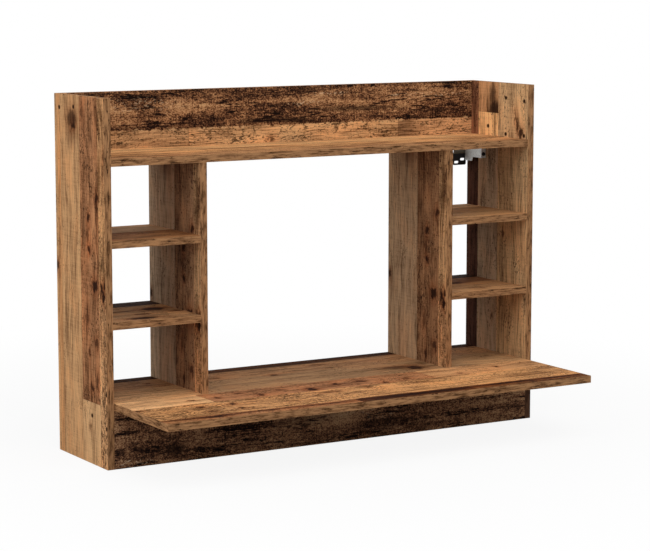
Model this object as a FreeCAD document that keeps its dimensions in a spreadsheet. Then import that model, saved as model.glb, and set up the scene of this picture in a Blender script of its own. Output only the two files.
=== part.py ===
# Wall-mounted desk: plain boards on hidden connectors, hung on two adjustable hangers.
#
# Frame: X to the right, Y towards the wall, Z up, in millimetres. The wall is the plane Y = 0.
# The origin lies on the wall, midway between the wall plates, level with their upper slots.
import FreeCAD
import Part
import Sketcher
import math
import os

# Driving dimensions
SIZES = {
    # carcass
    "overall_width": 1020,
    "overall_height": 730,
    "carcass_depth": 230,
    "desk_overhang": 235,
    "board": 15,
    "rail_height": 117.5,
    "apron_height": 117.5,
    "bay_width": 194,
    # connectors
    "connector_inset": 37,
    "blind_skin": 3.5,
    "fit": 0.1,
    "end_room": 0.5,
    "dowel_diameter": 8,
    "dowel_length": 30,
    "cam_diameter": 15,
    "cam_skin": 2.5,
    "cam_setback": 24,
    "cam_slot_width": 1.6,
    "cam_slot_depth": 2,
    "bolt_thread_diameter": 5,
    "bolt_shank_diameter": 6,
    "screw_diameter": 4,
    "screw_length": 50,
    "screw_head_diameter": 8,
    "screw_head_height": 2.6,
    # hanger housing, pressed from sheet
    "hanger_width": 12.5,
    "hanger_length": 62,
    "hanger_height": 35,
    "hanger_wall": 1.5,
    "hanger_fold": 1.2,
    "hanger_back_gap": 10,
    "hanger_top_gap": 1,
    "tab_length": 29,
    "tab_drop": 9,
    "tab_slope": 3,
    "pin_diameter": 10,
    # hanger works
    "running_gap": 0.3,
    "depth_travel": 12,
    "height_travel": 6,
    "carriage_wall": 3,
    "carriage_nut": 12,
    "carriage_front_gap": 2.5,
    "carriage_lift": 2.7,
    "head_height": 2.5,
    "recess_width": 1.2,
    "recess_depth": 1.6,
    "depth_screw_diameter": 5,
    "depth_head_diameter": 8,
    "depth_recess_length": 4.6,
    "depth_screw_inset": 5.1,
    "depth_screw_rise": 5.8,
    "height_screw_diameter": 4,
    "height_head_diameter": 5.8,
    "height_recess_length": 3.6,
    "height_screw_setback": 12,
    "height_screw_end_gap": 2,
    "hook_thickness": 3,
    "hook_tail_gap": 2,
    "hook_foot_length": 12,
    "hook_foot_thickness": 3,
    "hook_mouth_depth": 7,
    "hook_mouth_gap": 0.4,
    "hook_tip_drop": 2,
    "hook_tip_bevel": 1.2,
    "hook_wall_gap": 0.6,
    "hook_nose_radius": 4,
    # wall plate, bent from sheet
    "plate_width": 35,
    "plate_thickness": 2,
    "plate_edge_gap": 5.4,
    "plate_below_slot": 12.5,
    "plate_flat_rise": 13,
    "plate_corner_radius": 4,
    "lip_offset": 4,
    "slot_length": 12,
    "slot_width": 5.5,
    "slot_inset": 9.5,
    "slot_stagger": 6,
    "upper_slot_drop": 43.5,
}

# Places worked out from the driving dimensions
PLACES = {
    # carcass
    "inner_x": "Sizes.overall_width / 2 - Sizes.board",
    "divider_x": "inner_x - Sizes.bay_width - Sizes.board",
    "front_y": "-Sizes.carcass_depth",
    "shelf_under": "Sizes.upper_slot_drop",
    "shelf_top": "shelf_under + Sizes.board",
    "bottom": "shelf_top + Sizes.rail_height - Sizes.overall_height",
    "desk_under": "bottom + Sizes.apron_height",
    "desk_top": "desk_under + Sizes.board",
    "bay_height": "(shelf_under - desk_top - 2 * Sizes.board) / 3",
    "lower_shelf_z": "desk_top + bay_height",
    "upper_shelf_z": "lower_shelf_z + Sizes.board + bay_height",
    # connectors
    "blind_depth": "Sizes.board - Sizes.blind_skin",
    "peg_depth": "blind_depth - Sizes.end_room",
    "cam_depth": "Sizes.board - Sizes.cam_skin",
    "front_row_y": "front_y + Sizes.connector_inset",
    "back_row_y": "-Sizes.connector_inset",
    "dowel_bore": "Sizes.dowel_diameter + 2 * Sizes.fit",
    "dowel_edge_depth": "Sizes.dowel_length - peg_depth + Sizes.end_room",
    "screw_bore": "Sizes.screw_diameter + 2 * Sizes.fit",
    "screw_edge_depth": "Sizes.screw_length - Sizes.board + Sizes.end_room",
    # right hanger housing
    "housing_x": "inner_x - Sizes.hanger_width",
    "housing_front": "-Sizes.hanger_back_gap - Sizes.hanger_length",
    "housing_top": "shelf_under - Sizes.hanger_top_gap",
    "housing_bottom": "housing_top - Sizes.hanger_height",
    "pin_bore": "Sizes.pin_diameter + 2 * Sizes.fit",
    # right carriage, which slides in the housing
    "side_room": "Sizes.hanger_wall + Sizes.running_gap",
    "carriage_x": "housing_x + side_room",
    "carriage_width": "Sizes.hanger_width - 2 * side_room",
    "carriage_front": "housing_front + Sizes.hanger_wall + Sizes.carriage_front_gap",
    "carriage_rear": "-Sizes.hanger_back_gap - Sizes.depth_travel",
    "carriage_top": "housing_top - side_room",
    "carriage_bottom": "housing_bottom + Sizes.carriage_lift",
    "nut_rear": "carriage_front + Sizes.carriage_nut",
    # right hook, which slides in the carriage
    "depth_bore": "Sizes.depth_screw_diameter + 2 * Sizes.fit",
    "height_bore": "Sizes.height_screw_diameter + 2 * Sizes.fit",
    "screw_tip": "nut_rear + Sizes.depth_travel",
    "tail_y": "screw_tip + Sizes.hook_tail_gap",
    "bar_bottom": "carriage_bottom + Sizes.carriage_wall + Sizes.height_travel + Sizes.running_gap",
    "bar_top": "carriage_top - Sizes.carriage_wall - Sizes.height_travel - Sizes.running_gap",
    "bar_middle": "(bar_bottom + bar_top) / 2",
    "mouth_top": "bar_bottom + Sizes.hook_mouth_depth",
    "mouth_front": "-Sizes.lip_offset - Sizes.plate_thickness - Sizes.hook_mouth_gap",
    "mouth_rear": "-Sizes.lip_offset + Sizes.hook_mouth_gap",
    "foot_x": "carriage_x + Sizes.hook_thickness",
    "foot_width": "carriage_width - Sizes.hook_thickness",
    # adjusting screws
    "height_screw_x": "foot_x + foot_width / 2",
    "height_screw_y": "carriage_rear - Sizes.height_screw_setback",
    "depth_screw_x": "housing_x + Sizes.depth_screw_inset",
    "depth_screw_z": "carriage_bottom + Sizes.depth_screw_rise",
    # right wall plate
    "plate_x": "inner_x - Sizes.plate_edge_gap - Sizes.plate_width",
    "lip_rise": "Sizes.plate_flat_rise + Sizes.lip_offset",
}

# Shares of a rail's or apron's height at which its end dowels sit
END_DOWEL_SHARES = (0.25, 0.75)
# Shares of the housing's length from the front, and of its height from the bottom, of its fixing pins
PIN_SHARES = ((0.2, 0.7), (0.8, 0.3))
# Share of the sheet's thickness by which a 45 degree bend shifts the corner on its other side
BEND_SHARE = math.tan(math.pi / 8)
# Share of a bore by which a cam's bore runs past the cam's middle
CAM_BORE_SHARE = 0.5
# Sides of the dowels, bolts and pins, and of their holes: they hide in the boards, so few will do
HIDDEN_SIDES = 8
# Sides of the cam locks and their bores, which show only from below
CAM_SIDES = 24

FULL_TURN = 360
RIGHT, LEFT = 1, -1

doc = FreeCAD.newDocument("WallDesk")


# Sheets

def write_sheet(name, rows, prefix):
    """A sheet with one alias per row; the prefix turns a cell's text into a formula."""
    sheet = doc.addObject("Spreadsheet::Sheet", name)
    for row, (alias, value) in enumerate(rows.items(), start=1):
        sheet.set(f"A{row}", alias)
        sheet.setAlias(f"B{row}", alias)
        sheet.set(f"B{row}", f"{prefix}{value}")
    doc.recompute()


write_sheet("Sizes", SIZES, "")
write_sheet("Places", PLACES, "=")


# Sketches and features

def new_body(label, corner):
    """An empty body whose own origin stands at the given corner."""
    body = doc.addObject("PartDesign::Body", label)
    body.Label = label
    for axis, place in zip("xyz", corner):
        body.setExpression(f"Placement.Base.{axis}", place)
    return body


def new_sketch(body, plane, offset=None):
    """A sketch on one of the body's own planes, moved along that plane's normal by the offset."""
    sketch = body.newObject("Sketcher::SketchObject", "Sketch")
    support = next(item for item in body.Origin.OriginFeatures if item.Role == plane)
    sketch.AttachmentSupport = [(support, "")]
    sketch.MapMode = "FlatFace"
    if offset:
        sketch.setExpression("AttachmentOffset.Base.z", offset)
    return sketch


def constrain(sketch, kind, elements, start, value):
    """A sketch dimension that starts at the drawn value and then follows its expression."""
    index = sketch.addConstraint(Sketcher.Constraint(kind, *elements, start))
    sketch.setExpression(f"Constraints[{index}]", value)


def place_point(sketch, element, end, start, place):
    """Ties one point of an element to its two distances from the sketch's origin."""
    constrain(sketch, "DistanceX", (-1, 1, element, end), start.x, place[0])
    constrain(sketch, "DistanceY", (-1, 1, element, end), start.y, place[1])


def draw_polygon(sketch, points):
    """A closed outline; it is drawn on a unit circle and its points then take their places."""
    count = len(points)
    turns = [2 * math.pi * step / count for step in range(count)]
    drawn = [FreeCAD.Vector(math.cos(turn), math.sin(turn), 0) for turn in turns]
    lines = [
        sketch.addGeometry(Part.LineSegment(start, end)) for start, end in zip(drawn, drawn[1:] + drawn[:1])
    ]
    for line, following in zip(lines, lines[1:] + lines[:1]):
        sketch.addConstraint(Sketcher.Constraint("Coincident", line, 2, following, 1))
    for line, start, place in zip(lines, drawn, points):
        place_point(sketch, line, 1, start, place)


def draw_rectangle(sketch, low, high):
    draw_polygon(sketch, [low, (high[0], low[1]), high, (low[0], high[1])])


def draw_few_sided(sketch, centre, diameter):
    """A regular outline for a hidden hole, as wide at its corners as the diameter."""
    turns = [2 * math.pi * step / HIDDEN_SIDES for step in range(HIDDEN_SIDES)]
    shares = [(math.cos(turn) / 2, math.sin(turn) / 2) for turn in turns]
    x, y = centre
    points = [
        (f"{x} + {across:.6f} * ({diameter})", f"{y} + {up:.6f} * ({diameter})") for across, up in shares
    ]
    draw_polygon(sketch, points)


def draw_circle(sketch, centre, diameter):
    start = FreeCAD.Vector(1, 1, 0)
    circle = sketch.addGeometry(Part.Circle(start, FreeCAD.Vector(0, 0, 1), 1))
    place_point(sketch, circle, 3, start, centre)
    constrain(sketch, "Diameter", (circle,), 2, diameter)


def draw_slot(sketch, centre, length, width):
    """A round-ended slot along the sketch's X, drawn as a unit slot."""
    normal = FreeCAD.Vector(0, 0, 1)
    middles = (FreeCAD.Vector(-1, 0, 0), FreeCAD.Vector(1, 0, 0))
    quarter = math.pi / 2
    ends = [
        sketch.addGeometry(Part.ArcOfCircle(Part.Circle(middle, normal, 1), turn, turn + math.pi))
        for middle, turn in zip(middles, (quarter, -quarter))
    ]
    sides = [
        sketch.addGeometry(Part.LineSegment(FreeCAD.Vector(-side, side, 0), FreeCAD.Vector(side, side, 0)))
        for side in (1, -1)
    ]
    for end, side, end_point, side_point in ((0, 0, 1, 1), (1, 0, 2, 2), (0, 1, 2, 2), (1, 1, 1, 1)):
        joint = (ends[end], end_point, sides[side], side_point)
        sketch.addConstraint(Sketcher.Constraint("Tangent", *joint))
    for end, middle, way in zip(ends, middles, ("-", "+")):
        place_point(sketch, end, 3, middle, (f"{centre[0]} {way} ({length} - {width}) / 2", centre[1]))
        constrain(sketch, "Diameter", (end,), 2, width)


def draw_cross(sketch, length):
    """The outline of a cross recess about the sketch's origin."""
    arm = f"{length} / 2"
    half = "Sizes.recess_width / 2"
    corner = ((half, half), (half, arm), (f"-{half}", arm))
    points = []
    for _ in range(4):
        points += corner
        corner = tuple((f"-({y})", x) for x, y in corner)
    draw_polygon(sketch, points)


def extrude(body, sketch, length, kind="Pad", flip=False):
    feature = body.newObject(f"PartDesign::{kind}", kind)
    feature.Profile = sketch
    feature.setExpression("Length", length)
    feature.Reversed = flip
    return feature


def revolve(body, sketch):
    """Turns a half profile about the sketch's vertical axis."""
    feature = body.newObject("PartDesign::Revolution", "Revolution")
    feature.Profile = sketch
    feature.ReferenceAxis = (sketch, ["V_Axis"])
    feature.Angle = FULL_TURN
    return feature


def round_edges(body, base, radius, wanted):
    """Fillets those edges of a feature for which wanted(edge) holds."""
    doc.recompute()
    names = [f"Edge{index}" for index, edge in enumerate(base.Shape.Edges, start=1) if wanted(edge)]
    fillet = body.newObject("PartDesign::Fillet", "Fillet")
    fillet.Base = (base, names)
    fillet.setExpression("Radius", radius)
    return fillet


def runs_along(edge, axis):
    """Whether an edge is straight and parallel to an axis."""
    step = edge.Vertexes[-1].Point - edge.Vertexes[0].Point
    return abs(abs(step.dot(axis)) - edge.Length) < edge.Length * Part.Precision.confusion()


def move_to(shape, place):
    for axis, value in zip("xyz", place):
        shape.setExpression(f"Placement.Base.{axis}", value)


# Boards: each is sketched on its broad face and padded through its thickness

NORMALS = {"X": ("YZ_Plane", 1), "Y": ("XZ_Plane", -1), "Z": ("XY_Plane", 1)}
AXES = "XYZ"
corners = {}
bodies = {}
drillings = {}


def add_board(label, corner, size, thin_axis):
    body = new_body(label, corner)
    plane, normal = NORMALS[thin_axis]
    sketch = new_sketch(body, plane)
    wide = [size[index] for index, axis in enumerate(AXES) if axis != thin_axis]
    draw_rectangle(sketch, ("0", "0"), wide)
    extrude(body, sketch, size[AXES.index(thin_axis)], flip=normal < 0)
    corners[label] = corner
    bodies[label] = body


def add_boards():
    between = ("2 * Places.inner_x", "Sizes.carcass_depth", "Sizes.board")
    add_board("top_shelf", ("-Places.inner_x", "Places.front_y", "Places.shelf_under"), between, "Z")
    add_board(
        "desk_board",
        ("-Places.inner_x", "Places.front_y - Sizes.desk_overhang", "Places.desk_under"),
        (between[0], "Sizes.carcass_depth + Sizes.desk_overhang", "Sizes.board"),
        "Z",
    )
    add_board(
        "back_rail",
        ("-Places.inner_x", "-Sizes.board", "Places.shelf_top"),
        (between[0], "Sizes.board", "Sizes.rail_height"),
        "Y",
    )
    add_board(
        "front_apron",
        ("-Places.inner_x", "Places.front_y", "Places.bottom"),
        (between[0], "Sizes.board", "Sizes.apron_height"),
        "Y",
    )
    add_board(
        "right_side_panel",
        ("Places.inner_x", "Places.front_y", "Places.bottom"),
        ("Sizes.board", "Sizes.carcass_depth", "Sizes.overall_height"),
        "X",
    )
    add_board(
        "right_divider",
        ("Places.divider_x", "Places.front_y", "Places.desk_top"),
        ("Sizes.board", "Sizes.carcass_depth", "Places.shelf_under - Places.desk_top"),
        "X",
    )
    for level in ("upper", "lower"):
        add_board(
            f"right_{level}_shelf",
            ("Places.inner_x - Sizes.bay_width", "Places.front_y", f"Places.{level}_shelf_z"),
            ("Sizes.bay_width", "Sizes.carcass_depth", "Sizes.board"),
            "Z",
        )


def hole(board, axis, start, way, diameter, depth, centre, outline=draw_few_sided):
    """Notes a hole to cut: from the start plane, along the axis, the given way (1 or -1)."""
    drillings.setdefault((board, axis, start, way, diameter, depth, outline), []).append(centre)


def sink(board, form, start, depth):
    """A hole of a plain form in a board's underside, up from the start point."""
    feature = bodies[board].newObject(f"PartDesign::Subtractive{form}", f"{form}Hole")
    feature.setExpression("Height", depth)
    feature.MapMode = "Deactivated"
    move_to(feature, [f"({place}) - ({base})" for place, base in zip(start, corners[board])])
    return feature


def drill_boards():
    """One sketch and one pocket for each set of like holes."""
    for (board, axis, start, way, diameter, depth, outline), centres in drillings.items():
        plane, normal = NORMALS[axis]
        corner = corners[board]
        offset = f"{normal} * (({start}) - ({corner[AXES.index(axis)]}))"
        sketch = new_sketch(bodies[board], plane, offset)
        for centre in centres:
            spot = [f"({place}) - ({base})" for place, base in zip(centre, across(corner, axis))]
            outline(sketch, spot, diameter)
        extrude(bodies[board], sketch, depth, "Pocket", flip=way == normal)


# Connectors: each notes its holes in the boards and adds its own solids

QUARTER_TURN = 90
TURNS = {
    ("X", 1): FreeCAD.Rotation(FreeCAD.Vector(0, 1, 0), QUARTER_TURN),
    ("X", -1): FreeCAD.Rotation(FreeCAD.Vector(0, 1, 0), -QUARTER_TURN),
    ("Z", 1): FreeCAD.Rotation(),
    ("Z", -1): FreeCAD.Rotation(FreeCAD.Vector(1, 0, 0), 2 * QUARTER_TURN),
}
cam_locks, cam_bolts, wood_dowels, divider_screws, right_hanger_pins = [], [], [], [], []


def peg(start, axis, way, diameter, length, sides=HIDDEN_SIDES):
    """A piece that fills its hole, from a start point along an axis, drawn with few sides."""
    prism = doc.addObject("Part::Prism", "Peg")
    prism.Polygon = sides
    prism.setExpression("Circumradius", f"({diameter}) / 2")
    prism.setExpression("Height", length)
    prism.Placement = FreeCAD.Placement(FreeCAD.Vector(), TURNS[axis, way])
    move_to(prism, start)
    return prism


def cut(base, tool):
    result = doc.addObject("Part::Cut", "Cut")
    result.Base = base
    result.Tool = tool
    return result


def fuse(base, tool):
    result = doc.addObject("Part::Fuse", "Fuse")
    result.Base = base
    result.Tool = tool
    return result


def along(place, axis, way, distance):
    """A point moved along an axis."""
    moved = list(place)
    index = AXES.index(axis)
    moved[index] = f"({place[index]}) + ({way}) * ({distance})"
    return tuple(moved)


def across(place, axis):
    return tuple(value for value, other in zip(place, AXES) if other != axis)


def add_dowel(face_board, edge_board, place, axis, way):
    """A dowel through the joint at a place; its longer end lies the given way, in the edge board."""
    start = place[AXES.index(axis)]
    centre = across(place, axis)
    if face_board in bodies:
        hole(face_board, axis, start, -way, "Places.dowel_bore", "Places.blind_depth", centre)
    if edge_board in bodies:
        hole(edge_board, axis, start, way, "Places.dowel_bore", "Places.dowel_edge_depth", centre)
    inner_end = along(place, axis, -way, "Places.peg_depth")
    wood_dowels.append(peg(inner_end, axis, way, "Sizes.dowel_diameter", "Sizes.dowel_length"))


def add_cam_joint(panel, shelf, side, row_y, under):
    """A cam lock under a board's end and the bolt that it pulls on, screwed into the side panel."""
    middle = f"({under}) + Sizes.board / 2"
    place = (f"{side} * Places.inner_x", row_y, middle)
    thread_bore = "Sizes.bolt_thread_diameter + 2 * Sizes.fit"
    shank_bore = "Sizes.bolt_shank_diameter + 2 * Sizes.fit"
    if panel in bodies:
        hole(panel, "X", place[0], side, thread_bore, "Places.blind_depth", across(place, "X"))
    hole(shelf, "X", place[0], -side, shank_bore, "Sizes.cam_setback", across(place, "X"))
    cam_place = along((place[0], row_y, under), "X", -side, "Sizes.cam_setback")
    bore = sink(shelf, "Prism", cam_place, "Places.cam_depth")
    bore.Polygon = CAM_SIDES
    bore.setExpression("Circumradius", "Sizes.cam_diameter / 2 + Sizes.fit")

    thread = peg(place, "X", side, "Sizes.bolt_thread_diameter", "Places.peg_depth")
    shank = peg(place, "X", -side, "Sizes.bolt_shank_diameter", "Sizes.cam_setback")
    cam_bolts.append(fuse(thread, shank))

    cam_length = "Places.cam_depth - Sizes.fit"
    cam = peg(cam_place, "Z", 1, "Sizes.cam_diameter", cam_length, CAM_SIDES)
    bore_length = f"Sizes.cam_setback + {CAM_BORE_SHARE} * ({shank_bore})"
    bored = cut(cam, peg(place, "X", -side, shank_bore, bore_length))
    slot = doc.addObject("Part::Box", "Slot")
    slot.setExpression("Length", "Sizes.cam_diameter")
    slot.setExpression("Width", "Sizes.cam_slot_width")
    slot.setExpression("Height", "Sizes.cam_slot_depth")
    slot_x = f"({cam_place[0]}) - Sizes.cam_diameter / 2"
    move_to(slot, (slot_x, f"({row_y}) - Sizes.cam_slot_width / 2", under))
    cam_locks.append(cut(bored, slot))


def add_divider_screw(side, row_y):
    """A countersunk screw from under the desk board up into a divider's edge."""
    start = (f"{side} * (Places.divider_x + Sizes.board / 2)", row_y, "Places.desk_under")
    spot = start[:2]
    hole("desk_board", "Z", start[2], 1, "Places.screw_bore", "Sizes.board", spot)
    if side == RIGHT:
        depth = "Places.screw_edge_depth"
        hole("right_divider", "Z", "Places.desk_top", 1, "Places.screw_bore", depth, spot)
    countersink = sink("desk_board", "Cone", start, "Sizes.screw_head_height")
    countersink.setExpression("Radius1", "Sizes.screw_head_diameter / 2 + Sizes.fit")
    countersink.setExpression("Radius2", "Places.screw_bore / 2")
    head = doc.addObject("Part::Cone", "ScrewHead")
    head.setExpression("Radius1", "Sizes.screw_head_diameter / 2")
    head.setExpression("Radius2", "Sizes.screw_diameter / 2")
    head.setExpression("Height", "Sizes.screw_head_height")
    move_to(head, start)
    shank = peg(start, "Z", 1, "Sizes.screw_diameter", "Sizes.screw_length")
    divider_screws.append(fuse(shank, head))


def add_connectors():
    rows = ("Places.front_row_y", "Places.back_row_y")
    for side, name in ((RIGHT, "right"), (LEFT, "left")):
        panel, divider = f"{name}_side_panel", f"{name}_divider"
        joint_x = f"{side} * Places.inner_x"
        divider_face = f"{side} * (Places.inner_x - Sizes.bay_width)"
        divider_middle = f"{side} * (Places.divider_x + Sizes.board / 2)"
        for row_y in rows:
            add_cam_joint(panel, "top_shelf", side, row_y, "Places.shelf_under")
            add_cam_joint(panel, "desk_board", side, row_y, "Places.desk_under")
            for level in ("upper", "lower"):
                shelf = f"{name}_{level}_shelf"
                shelf_middle = f"Places.{level}_shelf_z + Sizes.board / 2"
                add_dowel(panel, shelf, (joint_x, row_y, shelf_middle), "X", -side)
                add_dowel(divider, shelf, (divider_face, row_y, shelf_middle), "X", side)
            add_dowel("top_shelf", divider, (divider_middle, row_y, "Places.shelf_under"), "Z", -1)
            add_divider_screw(side, row_y)
        for share in END_DOWEL_SHARES:
            rail_z = f"Places.shelf_top + {share} * Sizes.rail_height"
            add_dowel(panel, "back_rail", (joint_x, "-Sizes.board / 2", rail_z), "X", -side)
            apron_y = "Places.front_y + Sizes.board / 2"
            apron_z = f"Places.bottom + {share} * Sizes.apron_height"
            add_dowel(panel, "front_apron", (joint_x, apron_y, apron_z), "X", -side)


# Right hanger

def add_housing():
    """A pressed box, open below and behind, with a tab at the rear of its bay side."""
    label = "right_hanger_housing"
    base_z = "Places.housing_bottom - Sizes.tab_drop"
    corner = ("Places.housing_x", "Places.housing_front", base_z)
    body = new_body(label, corner)
    corners[label], bodies[label] = corner, body

    block = new_sketch(body, "XY_Plane", "Sizes.tab_drop")
    draw_rectangle(block, ("0", "0"), ("Sizes.hanger_width", "Sizes.hanger_length"))
    pad = extrude(body, block, "Sizes.hanger_height")

    def outer_fold(edge):
        middle = pad.Shape.CenterOfMass
        upright = runs_along(edge, FreeCAD.Vector(0, 0, 1))
        top = edge.BoundBox.ZMin > middle.z
        return (upright or top) and edge.BoundBox.YMin < middle.y

    round_edges(body, pad, "Sizes.hanger_fold", outer_fold)
    hollow = new_sketch(body, "XY_Plane", "Sizes.tab_drop")
    inner_side = "Sizes.hanger_width - Sizes.hanger_wall"
    draw_rectangle(hollow, ("Sizes.hanger_wall", "Sizes.hanger_wall"), (inner_side, "Sizes.hanger_length"))
    extrude(body, hollow, "Sizes.hanger_height - Sizes.hanger_wall", "Pocket", flip=True)

    tab = new_sketch(body, "YZ_Plane")
    tab_front = "Sizes.hanger_length - Sizes.tab_length"
    draw_polygon(
        tab,
        [
            (tab_front, "Sizes.tab_drop"),
            (f"{tab_front} + Sizes.tab_slope", "0"),
            ("Sizes.hanger_length", "0"),
            ("Sizes.hanger_length", "Sizes.tab_drop"),
        ],
    )
    extrude(body, tab, "Sizes.hanger_wall")

    screw_spot = ("Places.depth_screw_x", "Places.depth_screw_z")
    hole(label, "Y", corner[1], 1, "Places.depth_bore", "Sizes.hanger_wall", screw_spot, draw_circle)
    for along_share, up_share in PIN_SHARES:
        start = (
            "Places.inner_x",
            f"Places.housing_front + {along_share} * Sizes.hanger_length",
            f"Places.housing_bottom + {up_share} * Sizes.hanger_height",
        )
        hole("right_side_panel", "X", start[0], 1, "Places.pin_bore", "Places.blind_depth", start[1:])
        right_hanger_pins.append(peg(start, "X", 1, "Sizes.pin_diameter", "Places.peg_depth"))


def add_carriage():
    """A block open to the rear, with a nut wall in front for the depth screw."""
    label = "right_hook_carriage"
    corner = ("Places.carriage_x", "Places.carriage_front", "Places.carriage_bottom")
    body = new_body(label, corner)
    corners[label], bodies[label] = corner, body
    length = "Places.carriage_rear - Places.carriage_front"
    height = "Places.carriage_top - Places.carriage_bottom"
    roof = f"{height} - Sizes.carriage_wall"
    profile = new_sketch(body, "YZ_Plane")
    draw_polygon(
        profile,
        [
            ("0", "0"),
            (length, "0"),
            (length, "Sizes.carriage_wall"),
            ("Sizes.carriage_nut", "Sizes.carriage_wall"),
            ("Sizes.carriage_nut", roof),
            (length, roof),
            (length, height),
            ("0", height),
        ],
    )
    extrude(body, profile, "Places.carriage_width")
    depth_spot = ("Places.depth_screw_x", "Places.depth_screw_z")
    hole(label, "Y", corner[1], 1, "Places.depth_bore", "Sizes.carriage_nut", depth_spot, draw_circle)
    height_spot = ("Places.height_screw_x", "Places.height_screw_y")
    hole(label, "Z", corner[2], 1, "Places.height_bore", "Sizes.carriage_wall", height_spot, draw_circle)


def add_hook():
    """A stamped bar with a mouth behind, and a bent foot that is tapped for the height screw."""
    label = "right_wall_hook"
    corner = ("Places.carriage_x", "Places.tail_y", "Places.bar_bottom")
    body = new_body(label, corner)
    corners[label], bodies[label] = corner, body
    bar_height = "Places.bar_top - Places.bar_bottom"
    rear = "-Sizes.hook_wall_gap - Places.tail_y"
    mouth_front = "Places.mouth_front - Places.tail_y"
    mouth_rear = "Places.mouth_rear - Places.tail_y"
    profile = new_sketch(body, "YZ_Plane")
    draw_polygon(
        profile,
        [
            ("0", "0"),
            (mouth_front, "0"),
            (mouth_front, "Sizes.hook_mouth_depth"),
            (mouth_rear, "Sizes.hook_mouth_depth"),
            (mouth_rear, "Sizes.hook_tip_bevel - Sizes.hook_tip_drop"),
            (f"{mouth_rear} + Sizes.hook_tip_bevel", "-Sizes.hook_tip_drop"),
            (rear, "-Sizes.hook_tip_drop"),
            (rear, bar_height),
            ("0", bar_height),
        ],
    )
    bar = extrude(body, profile, "Sizes.hook_thickness")

    def nose(edge):
        upper = edge.CenterOfMass.z > bar.Shape.CenterOfMass.z
        behind = edge.BoundBox.YMin > bar.Shape.BoundBox.YMax - edge.Length * Part.Precision.confusion()
        return runs_along(edge, FreeCAD.Vector(1, 0, 0)) and upper and behind

    round_edges(body, bar, "Sizes.hook_nose_radius", nose)
    foot = new_sketch(body, "YZ_Plane", "Sizes.hook_thickness")
    foot_y = "Places.height_screw_y - Sizes.hook_foot_length / 2 - Places.tail_y"
    foot_z = f"({bar_height}) / 2 - Sizes.hook_foot_thickness / 2"
    draw_rectangle(
        foot,
        (foot_y, foot_z),
        (f"{foot_y} + Sizes.hook_foot_length", f"{foot_z} + Sizes.hook_foot_thickness"),
    )
    extrude(body, foot, "Places.foot_width")
    foot_bottom = "Places.bar_middle - Sizes.hook_foot_thickness / 2"
    spot = ("Places.height_screw_x", "Places.height_screw_y")
    hole(label, "Z", foot_bottom, 1, "Places.height_bore", "Sizes.hook_foot_thickness", spot, draw_circle)


def add_adjuster(name, corner, plane, length):
    """A screw whose head bears on the outside of a wall, at the corner, and whose thread runs inwards."""
    label = f"right_{name}_screw"
    body = new_body(label, corner)
    bodies[label] = body
    head = f"Sizes.{name}_head_diameter / 2"
    thread = f"Sizes.{name}_screw_diameter / 2"
    head_end = "-Sizes.fit - Sizes.head_height"
    profile = new_sketch(body, plane)
    draw_polygon(
        profile,
        [
            ("0", head_end),
            (head, head_end),
            (head, "-Sizes.fit"),
            (thread, "-Sizes.fit"),
            (thread, length),
            ("0", length),
        ],
    )
    revolve(body, profile)
    return body


def add_adjusters():
    """The depth screw drives the carriage's nut wall, the height screw drives the hook's foot."""
    head_top = "Sizes.fit + Sizes.head_height"
    corner = ("Places.depth_screw_x", "Places.housing_front", "Places.depth_screw_z")
    body = add_adjuster("depth", corner, "XY_Plane", "Places.screw_tip - Places.housing_front")
    recess = new_sketch(body, "XZ_Plane", head_top)
    draw_cross(recess, "Sizes.depth_recess_length")
    extrude(body, recess, "Sizes.recess_depth", "Pocket")

    corner = ("Places.height_screw_x", "Places.height_screw_y", "Places.carriage_bottom")
    roof = "Places.carriage_top - Sizes.carriage_wall - Places.carriage_bottom"
    body = add_adjuster("height", corner, "XZ_Plane", f"{roof} - Sizes.height_screw_end_gap")
    recess = new_sketch(body, "XY_Plane", f"-({head_top})")
    draw_cross(recess, "Sizes.height_recess_length")
    extrude(body, recess, "Sizes.recess_depth", "Pocket", flip=True)


def add_wall_plate():
    """A bent plate: flat on the wall with two staggered slots, and a raised lip for the hook."""
    label = "right_wall_plate"
    foot = "Sizes.plate_below_slot"
    body = new_body(label, ("Places.plate_x", "0", f"-{foot}"))
    bodies[label] = body
    bend = f"{BEND_SHARE} * Sizes.plate_thickness"
    lip_rear = "-Sizes.lip_offset"
    lip_front = f"{lip_rear} - Sizes.plate_thickness"
    lip_top = f"Places.mouth_top + {foot}"
    profile = new_sketch(body, "YZ_Plane")
    draw_polygon(
        profile,
        [
            ("0", "0"),
            ("0", f"Sizes.plate_flat_rise + {foot}"),
            (lip_rear, f"Places.lip_rise + {foot}"),
            (lip_rear, lip_top),
            (lip_front, lip_top),
            (lip_front, f"Places.lip_rise + {foot} - {bend}"),
            ("-Sizes.plate_thickness", f"Sizes.plate_flat_rise + {foot} - {bend}"),
            ("-Sizes.plate_thickness", "0"),
        ],
    )
    plate = extrude(body, profile, "Sizes.plate_width")

    def lower_corner(edge):
        below = edge.CenterOfMass.z < plate.Shape.CenterOfMass.z
        return runs_along(edge, FreeCAD.Vector(0, 1, 0)) and below

    round_edges(body, plate, "Sizes.plate_corner_radius", lower_corner)
    slots = new_sketch(body, "XZ_Plane", "Sizes.plate_thickness")
    upper_slot = ("Sizes.plate_width - Sizes.slot_inset", foot)
    lower_slot = ("Sizes.slot_inset", f"{foot} - Sizes.slot_stagger")
    for middle in (upper_slot, lower_slot):
        draw_slot(slots, middle, "Sizes.slot_length", "Sizes.slot_width")
    extrude(body, slots, "Sizes.plate_thickness", "Pocket")


# Assembly

def group(label, members):
    """Like pieces gathered in one sub-part, each still a solid of its own."""
    compound = doc.addObject("Part::Compound", label)
    compound.Label = label
    compound.Links = members
    return compound


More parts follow.
